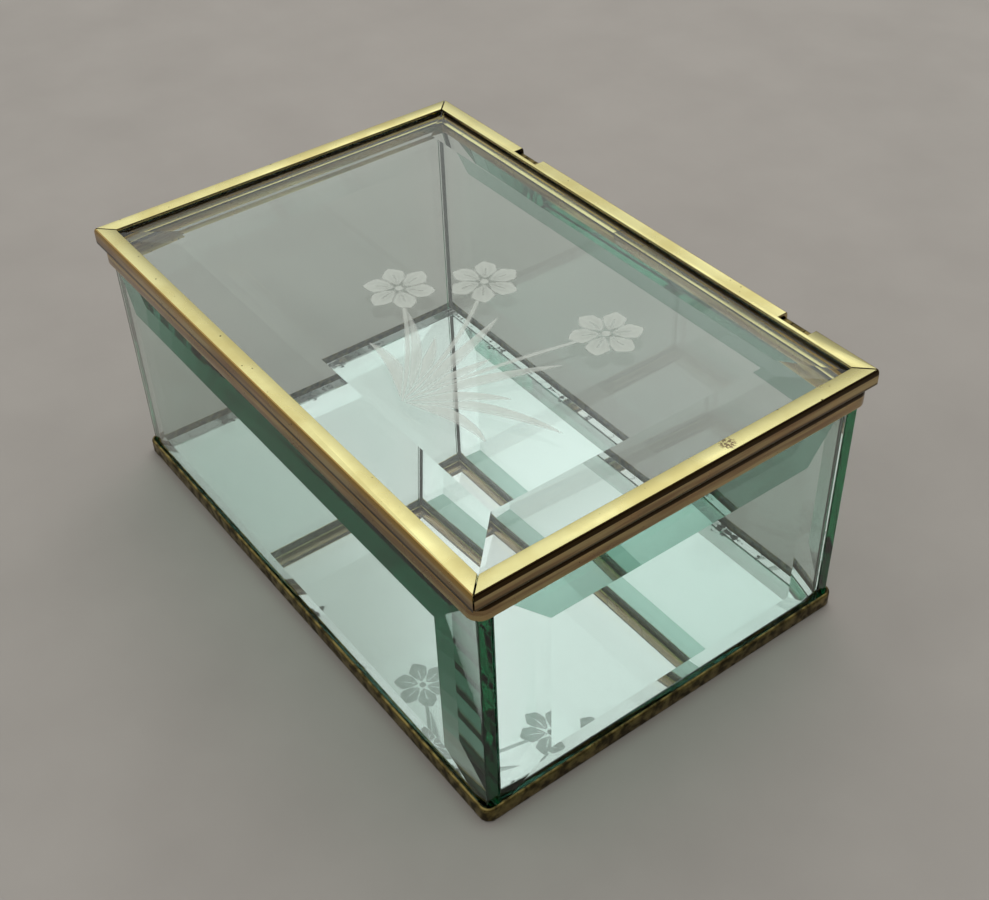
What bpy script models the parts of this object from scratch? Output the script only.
"""Bevelled glass jewelry box in brass channel, with a mirror floor and a hinged lid.

Metres, +Z up. X runs along the long side, the lid opens at -Y and is hinged at +Y.
The origin is under the middle of the box, on the surface that it stands on.
"""
import math

import bmesh
import bpy
from mathutils import Matrix, Vector

MM = 0.001

# Overall sizes, over the lid's brass frame
LENGTH = 153.0 * MM
DEPTH = 102.4 * MM
BODY_HEIGHT = 64.05 * MM

# Fits
FIT_GAP = 0.3 * MM            # left between pieces that touch on the real box
LID_GAP = 0.45 * MM           # air between the closed lid and the rim
RUNNING_GAP = 0.1 * MM        # radial, pin to knuckle

# Brass channel
SHEET = 0.6 * MM
CHANNEL_HEIGHT = 4.1 * MM
EASE_IN = 0.5 * MM            # the channel's eased outer edge, across
EASE_DOWN = 1.3 * MM          # and down
EASE_STEPS = 4
BENT_CORNER = 4.0 * MM        # outer radius of the bent corners, where the glass leaves room
CORNER_STEPS = 8
SMALLEST_CORNER = 0.3 * MM
BASE_HEIGHT = 4.0 * MM
BASE_FLANGE = 9.0 * MM        # ledge under the panes and the mirror

# Glass
PANE_INSET = 2.3 * MM         # lid's outer face to the panes' thin edge
PANE_EDGE = 3.0 * MM          # thickness at the bevelled edge
BEVEL_WIDTH = 12.0 * MM
BEVEL_DROP = 1.6 * MM         # full thickness less edge thickness
LID_GLASS_OVERLAP = 1.0 * MM  # how far the lid frame's flange covers the glass
MIRROR_THICK = 3.2 * MM
BEAD_LEG = 1.2 * MM           # adhesive fillet in the inner corners

# Hinges
HINGE_FROM_LEFT = 38.8 * MM   # lid's left end to the middle of the left hinge
HINGE_FROM_RIGHT = 21.7 * MM  # lid's right end to the middle of the right hinge
KNUCKLE_RADIUS = 1.0 * MM
PIN_RADIUS = 0.45 * MM
BODY_KNUCKLE = 3.2 * MM       # width of the middle knuckle
LID_KNUCKLE = 2.1 * MM        # width of each outer knuckle
LEAF_BAR = 0.5 * MM           # strip that joins the two outer knuckles
BAR_GAP = 0.2 * MM            # air between that strip and the middle knuckle
CURL_END = 5.0                # radians of curl round the pin
CURL_STEPS = 20
PIN_SIDES = 20


def largest_bend(outer_inset):
    """Outer radius of a bent wall whose inner face clears the panes' square corners."""
    room = (PANE_INSET - outer_inset - SHEET) * math.sqrt(2.0) - FIT_GAP
    return min(BENT_CORNER, SHEET + room / (math.sqrt(2.0) - 1.0))


# Worked out from the values above
BEVEL_SLOPE = BEVEL_DROP / BEVEL_WIDTH
LID_BOTTOM = BODY_HEIGHT + LID_GAP
BORE_RADIUS = PIN_RADIUS + RUNNING_GAP
LEAF_THICK = KNUCKLE_RADIUS - BORE_RADIUS
RIM_INSET = LEAF_THICK + FIT_GAP
PANE_BOTTOM = SHEET + FIT_GAP
PANE_HEIGHT = BODY_HEIGHT - SHEET - FIT_GAP - PANE_BOTTOM
BASE_INSET = PANE_INSET - SHEET - FIT_GAP - (BASE_HEIGHT - PANE_BOTTOM) * BEVEL_SLOPE
RIM_CORNER = largest_bend(RIM_INSET)
BASE_CORNER = largest_bend(BASE_INSET)
PANE_BACK_INSET = PANE_INSET + PANE_EDGE
RIM_INNER_INSET = PANE_BACK_INSET + FIT_GAP + SHEET
LID_GLASS_EDGE = CHANNEL_HEIGHT - 2 * SHEET - 2 * FIT_GAP - LID_GLASS_OVERLAP * BEVEL_SLOPE
HINGE_PLACES = (("left", HINGE_FROM_LEFT - LENGTH / 2), ("right", LENGTH / 2 - HINGE_FROM_RIGHT))
NOTCH_DEPTH = 2 * KNUCKLE_RADIUS + BAR_GAP + LEAF_BAR + FIT_GAP
LID_GLASS_INSET = NOTCH_DEPTH
FLANGE = NOTCH_DEPTH + LID_GLASS_OVERLAP
HINGE_WIDTH = BODY_KNUCKLE + 2 * LID_KNUCKLE + 2 * FIT_GAP
NOTCH_WIDTH = HINGE_WIDTH + 2 * FIT_GAP
AXIS = Vector((0.0, DEPTH / 2 - KNUCKLE_RADIUS, LID_BOTTOM + SHEET + FIT_GAP + KNUCKLE_RADIUS))
LONG = 1.0                    # reach of a cutter that runs right through
SHARP_ANGLE = math.radians(30.0)

# name: (colour, roughness, metallic, transmission)
FINISHES = {
    "brass": ((0.78, 0.66, 0.30), 0.22, 1.0, 0.0),
    "base_brass": ((0.42, 0.34, 0.13), 0.38, 1.0, 0.0),
    "clear_glass": ((0.80, 0.93, 0.88), 0.02, 0.0, 1.0),
    "lid_glass": ((0.88, 0.95, 0.93), 0.02, 0.0, 1.0),
    "mirror": ((0.80, 0.90, 0.87), 0.03, 1.0, 0.0),
    "adhesive": ((0.75, 0.80, 0.78), 0.30, 0.0, 0.6),
    "hinge_brass": ((0.55, 0.44, 0.20), 0.30, 1.0, 0.0),
}


def clear_scene():
    for old in list(bpy.data.objects):
        bpy.data.objects.remove(old, do_unlink=True)


def make_materials():
    made = {}
    for name, (colour, roughness, metallic, transmission) in FINISHES.items():
        material = bpy.data.materials.new(name)
        material.use_nodes = True
        shader = material.node_tree.nodes["Principled BSDF"]
        shader.inputs["Base Color"].default_value = (*colour, 1.0)
        shader.inputs["Roughness"].default_value = roughness
        shader.inputs["Metallic"].default_value = metallic
        shader.inputs["Transmission Weight"].default_value = transmission
        made[name] = material
    return made


def add_object(name, bm, material, parent=None, location=(0.0, 0.0, 0.0), rotation=(0.0, 0.0, 0.0)):
    """Turn a bmesh into a named object at a world place, under its parent if it has one."""
    bmesh.ops.recalc_face_normals(bm, faces=bm.faces)
    mesh = bpy.data.meshes.new(name)
    bm.to_mesh(mesh)
    bm.free()
    mesh.materials.append(material)
    obj = bpy.data.objects.new(name, mesh)
    bpy.context.collection.objects.link(obj)
    obj.rotation_euler = rotation
    obj.location = Vector(location)
    if parent is not None:
        obj.parent = parent
        obj.location -= parent.location
    return obj


def subtract(target, cutter):
    """Cut one object by another, which stays as a hidden wire guide."""
    cutter.hide_render = True
    cutter.display_type = "WIRE"
    cut = target.modifiers.new(cutter.name, "BOOLEAN")
    cut.operation = "DIFFERENCE"
    cut.solver = "EXACT"
    cut.object = cutter


def block(low, high):
    """A box between two corners."""
    low = Vector(low)
    high = Vector(high)
    bm = bmesh.new()
    bmesh.ops.create_cube(bm, size=1.0)
    bmesh.ops.scale(bm, vec=high - low, verts=bm.verts)
    bmesh.ops.translate(bm, vec=(low + high) / 2, verts=bm.verts)
    return bm


def rounded_block(half_x, half_y, corner, bottom, top):
    """A box with its four upright edges rounded."""
    bm = block((-half_x, -half_y, bottom), (half_x, half_y, top))
    upright = [e for e in bm.edges if abs(e.verts[0].co.z - e.verts[1].co.z) > (top - bottom) / 2]
    bmesh.ops.bevel(bm, geom=upright, offset=corner, segments=CORNER_STEPS, profile=0.5,
                    affect="EDGES", material=-1)
    return bm


def ease_top(bm):
    """Roll the outer top edge over in a quarter ellipse, step by step."""
    for step in range(EASE_STEPS):
        start = math.pi / 2 * step / EASE_STEPS
        end = math.pi / 2 * (step + 1) / EASE_STEPS
        across = EASE_IN * (math.cos(start) - math.cos(end))
        up = EASE_DOWN * (math.sin(end) - math.sin(start))
        face = max(bm.faces, key=lambda f: f.calc_center_median().z)
        bmesh.ops.inset_region(bm, faces=[face], thickness=across, depth=0.0, use_even_offset=True)
        bmesh.ops.translate(bm, vec=(0.0, 0.0, up), verts=face.verts)
        bm.normal_update()


def lying_pane(half_x, half_y, edge):
    """A pane lying flat: bottom face at z = 0, bevelled upper face."""
    bm = block((-half_x, -half_y, 0.0), (half_x, half_y, edge))
    bm.normal_update()
    upper = max(bm.faces, key=lambda f: f.calc_center_median().z)
    bmesh.ops.inset_individual(bm, faces=[upper], thickness=BEVEL_WIDTH, depth=BEVEL_DROP,
                               use_even_offset=True)
    return bm


def make_side_pane(name, width, back_distance, turn, materials):
    """A standing pane, flat side in, bevelled side out, turned to its side of the box."""
    bm = lying_pane(width / 2, PANE_HEIGHT / 2, PANE_EDGE)
    outwards = Matrix.Rotation(turn, 3, "Z") @ Vector((0.0, -back_distance, 0.0))
    centre_z = PANE_BOTTOM + PANE_HEIGHT / 2
    return add_object(name, bm, materials["clear_glass"], location=(outwards.x, outwards.y, centre_z),
                      rotation=(math.pi / 2, 0.0, turn))


def make_panes(materials):
    long_width = LENGTH - 2 * PANE_INSET
    short_width = DEPTH - 2 * PANE_BACK_INSET - 2 * FIT_GAP
    make_side_pane("pane_front", long_width, DEPTH / 2 - PANE_BACK_INSET, 0.0, materials)
    make_side_pane("pane_back", long_width, DEPTH / 2 - PANE_BACK_INSET, math.pi, materials)
    make_side_pane("pane_right", short_width, LENGTH / 2 - PANE_BACK_INSET, math.pi / 2, materials)
    make_side_pane("pane_left", short_width, LENGTH / 2 - PANE_BACK_INSET, -math.pi / 2, materials)


def make_mirror(materials):
    half_x = LENGTH / 2 - PANE_BACK_INSET - FIT_GAP
    half_y = DEPTH / 2 - PANE_BACK_INSET - FIT_GAP
    bm = block((-half_x, -half_y, PANE_BOTTOM), (half_x, half_y, PANE_BOTTOM + MIRROR_THICK))
    add_object("mirror", bm, materials["mirror"])


def make_corner_adhesive(materials):
    """A three-sided upright bead in each inner corner, from the mirror to the rim."""
    bottom = PANE_BOTTOM + MIRROR_THICK + FIT_GAP
    top = BODY_HEIGHT - CHANNEL_HEIGHT - FIT_GAP
    corner_x = LENGTH / 2 - PANE_BACK_INSET - FIT_GAP
    corner_y = DEPTH / 2 - PANE_BACK_INSET - FIT_GAP
    for side_y, end_y in (("front", -1), ("back", 1)):
        for side_x, end_x in (("left", -1), ("right", 1)):
            bm = bmesh.new()
            outline = [(0.0, 0.0), (-BEAD_LEG * end_x, 0.0), (0.0, -BEAD_LEG * end_y)]
            face = bm.faces.new([bm.verts.new((x, y, 0.0)) for x, y in outline])
            raised = bmesh.ops.extrude_face_region(bm, geom=[face])["geom"]
            moved = [g for g in raised if isinstance(g, bmesh.types.BMVert)]
            bmesh.ops.translate(bm, vec=(0.0, 0.0, top - bottom), verts=moved)
            add_object(f"corner_adhesive_{side_y}_{side_x}", bm, materials["adhesive"],
                       location=(corner_x * end_x, corner_y * end_y, bottom))


def ring_cutter(name, inset, corner, bottom, top, materials):
    """A rounded block that clears everything further in than the inset."""
    bm = rounded_block(LENGTH / 2 - inset, DEPTH / 2 - inset, max(corner, SMALLEST_CORNER), bottom, top)
    return add_object(name, bm, materials["brass"])


def seam_cutter(name, materials):
    """A thin slot at the middle of the back, where the bent strip's ends meet."""
    low = (-FIT_GAP / 2, 0.0, -LONG)
    high = (FIT_GAP / 2, LONG, LONG)
    return add_object(name, block(low, high), materials["brass"])


def make_top_rim(materials):
    """Channel folded over the panes' top edges: outer leg, web on top, inner leg."""
    bottom = BODY_HEIGHT - CHANNEL_HEIGHT
    web_bottom = BODY_HEIGHT - SHEET
    bm = rounded_block(LENGTH / 2 - RIM_INSET, DEPTH / 2 - RIM_INSET, RIM_CORNER, bottom,
                       BODY_HEIGHT - EASE_DOWN)
    bm.normal_update()
    ease_top(bm)
    rim = add_object("top_rim", bm, materials["brass"])
    subtract(rim, ring_cutter("cut_rim_mouth", RIM_INNER_INSET, 0.0, -LONG, LONG, materials))
    groove = ring_cutter("cut_rim_groove", RIM_INSET + SHEET, RIM_CORNER - SHEET, bottom - SHEET, web_bottom,
                         materials)
    core = ring_cutter("cut_rim_core", RIM_INNER_INSET - SHEET, 0.0, -LONG, LONG, materials)
    subtract(groove, core)
    subtract(rim, groove)
    subtract(rim, seam_cutter("cut_rim_seam", materials))


def make_base_channel(materials):
    """Angle bent round the panes' feet: an outer wall, and a ledge under the glass."""
    bm = rounded_block(LENGTH / 2 - BASE_INSET, DEPTH / 2 - BASE_INSET, BASE_CORNER, 0.0, BASE_HEIGHT)
    base = add_object("base_channel", bm, materials["base_brass"])
    well = ring_cutter("cut_base_well", BASE_INSET + SHEET, BASE_CORNER - SHEET, SHEET, LONG, materials)
    subtract(base, well)
    subtract(base, ring_cutter("cut_base_window", BASE_INSET + BASE_FLANGE, 0.0, -LONG, LONG, materials))
    subtract(base, seam_cutter("cut_base_seam", materials))


def channel_outline():
    """The lid channel's section, as (distance in from the outer face, height above its bottom)."""
    eased = []
    for step in range(EASE_STEPS + 1):
        angle = math.pi / 2 * step / EASE_STEPS
        inwards = EASE_IN * (1.0 - math.cos(angle))
        height = CHANNEL_HEIGHT - EASE_DOWN * (1.0 - math.sin(angle))
        eased.append((inwards, height))
    upper_lip = [(FLANGE, CHANNEL_HEIGHT), (FLANGE, CHANNEL_HEIGHT - SHEET)]
    lower_lip = [(FLANGE, SHEET), (FLANGE, 0.0)]
    wall = [(SHEET, CHANNEL_HEIGHT - SHEET - EASE_DOWN / 2), (SHEET, SHEET)]
    web = [(EASE_IN + SHEET, CHANNEL_HEIGHT - SHEET)]
    return [(0.0, 0.0)] + eased + upper_lip + web + wall + lower_lip


def mitred_channel(run, distance):
    """A channel along X, outer face towards -Y at the given distance, ends cut at 45 degrees."""
    bm = bmesh.new()
    face = bm.faces.new([bm.verts.new((0.0, -distance + y, z)) for y, z in channel_outline()])
    raised = bmesh.ops.extrude_face_region(bm, geom=[face])["geom"]
    far_end = [g for g in raised if isinstance(g, bmesh.types.BMVert)]
    near_end = [v for v in bm.verts if v not in far_end]
    for side, ring in ((1, far_end), (-1, near_end)):
        for vert in ring:
            from_outer_face = vert.co.y + distance
            vert.co.x = side * (run / 2 - from_outer_face - FIT_GAP / math.sqrt(2.0))
    return bm


def make_lid_frame(hinge, materials):
    """Four mitred lengths of channel; the back one is notched for the hinges."""
    members = (("lid_frame_front", LENGTH, DEPTH / 2, 0.0), ("lid_frame_back", LENGTH, DEPTH / 2, math.pi),
               ("lid_frame_right", DEPTH, LENGTH / 2, math.pi / 2),
               ("lid_frame_left", DEPTH, LENGTH / 2, -math.pi / 2))
    made = {}
    for name, run, distance, turn in members:
        made[name] = add_object(name, mitred_channel(run, distance), materials["brass"], parent=hinge,
                                location=(0.0, 0.0, LID_BOTTOM), rotation=(0.0, 0.0, turn))
    back = made["lid_frame_back"]
    for side, middle in HINGE_PLACES:
        low_x = middle - NOTCH_WIDTH / 2
        high_x = middle + NOTCH_WIDTH / 2
        upper = block((low_x, DEPTH / 2 - NOTCH_DEPTH, LID_BOTTOM + SHEET + FIT_GAP / 2),
                      (high_x, LONG, LONG))
        subtract(back, add_object(f"cut_notch_{side}", upper, materials["brass"]))
        slot = block((low_x, AXIS.y + BORE_RADIUS - FIT_GAP, 0.0), (high_x, LONG, LONG))
        subtract(back, add_object(f"cut_leaf_slot_{side}", slot, materials["brass"]))


def make_lid_glass(hinge, materials):
    bm = lying_pane(LENGTH / 2 - LID_GLASS_INSET, DEPTH / 2 - LID_GLASS_INSET, LID_GLASS_EDGE)
    add_object("lid_glass", bm, materials["lid_glass"], parent=hinge,
               location=(0.0, 0.0, LID_BOTTOM + SHEET + FIT_GAP))


def curl_outline(start, tail):
    """A strip rolled round the pin, from the angle start, with a straight tail at its root.

    Given as (y, z) about the pin. The tail is the strip's own length before the roll.
    """
    outer = []
    inner = []
    for step in range(CURL_STEPS + 1):
        angle = start + CURL_END * step / CURL_STEPS
        outer.append((KNUCKLE_RADIUS * math.cos(angle), KNUCKLE_RADIUS * math.sin(angle)))
        inner.append((BORE_RADIUS * math.cos(angle), BORE_RADIUS * math.sin(angle)))
    back = (math.sin(start) * tail, -math.cos(start) * tail)
    root_outer = (outer[0][0] + back[0], outer[0][1] + back[1])
    root_inner = (inner[0][0] + back[0], inner[0][1] + back[1])
    return [root_outer] + outer + inner[::-1] + [root_inner]


def extruded_curl(outline, width):
    """The rolled strip as a solid, centred on the pin's middle."""
    bm = bmesh.new()
    face = bm.faces.new([bm.verts.new((-width / 2, y, z)) for y, z in outline])
    raised = bmesh.ops.extrude_face_region(bm, geom=[face])["geom"]
    moved = [g for g in raised if isinstance(g, bmesh.types.BMVert)]
    bmesh.ops.translate(bm, vec=(width, 0.0, 0.0), verts=moved)
    return bm


def make_hinges(hinge, materials):
    """Two hinges: a body leaf between two lid knuckles, on a pin."""
    body_tail = AXIS.z - (BODY_HEIGHT - CHANNEL_HEIGHT)
    lid_tail = AXIS.y - (DEPTH / 2 - NOTCH_DEPTH) - FIT_GAP
    for side, middle in HINGE_PLACES:
        centre = Vector((middle, AXIS.y, AXIS.z))
        body_leaf = extruded_curl(curl_outline(0.0, body_tail), BODY_KNUCKLE)
        add_object(f"hinge_body_leaf_{side}", body_leaf, materials["hinge_brass"], location=centre)
        lid_leaf = extruded_curl(curl_outline(-math.pi / 2, lid_tail), HINGE_WIDTH)
        leaf = add_object(f"hinge_lid_leaf_{side}", lid_leaf, materials["hinge_brass"], parent=hinge,
                          location=centre)
        half_gap = BODY_KNUCKLE / 2 + FIT_GAP
        gap = block((-half_gap, -lid_tail + LEAF_BAR, -LONG), (half_gap, LONG, LONG))
        subtract(leaf, add_object(f"cut_lid_leaf_{side}", gap, materials["brass"], location=centre))
        pin = bmesh.new()
        bmesh.ops.create_cone(pin, cap_ends=True, segments=PIN_SIDES, radius1=PIN_RADIUS,
                              radius2=PIN_RADIUS, depth=HINGE_WIDTH)
        bmesh.ops.rotate(pin, matrix=Matrix.Rotation(math.pi / 2, 3, "Y"), verts=pin.verts)
        add_object(f"hinge_pin_{side}", pin, materials["hinge_brass"], parent=hinge, location=centre)


def shade(angle):
    """Smooth shading, with edges sharper than the angle kept crisp."""
    for obj in bpy.data.objects:
        if obj.type == "MESH":
            obj.data.shade_smooth()
            obj.data.set_sharp_from_angle(angle=angle)


def main():
    clear_scene()
    materials = make_materials()
    hinge = bpy.data.objects.new("lid_hinge", None)
    hinge.location = AXIS
    bpy.context.collection.objects.link(hinge)
    make_base_channel(materials)
    make_mirror(materials)
    make_panes(materials)
    make_corner_adhesive(materials)
    make_top_rim(materials)
    make_lid_frame(hinge, materials)
    make_lid_glass(hinge, materials)
    make_hinges(hinge, materials)
    shade(SHARP_ANGLE)


main()
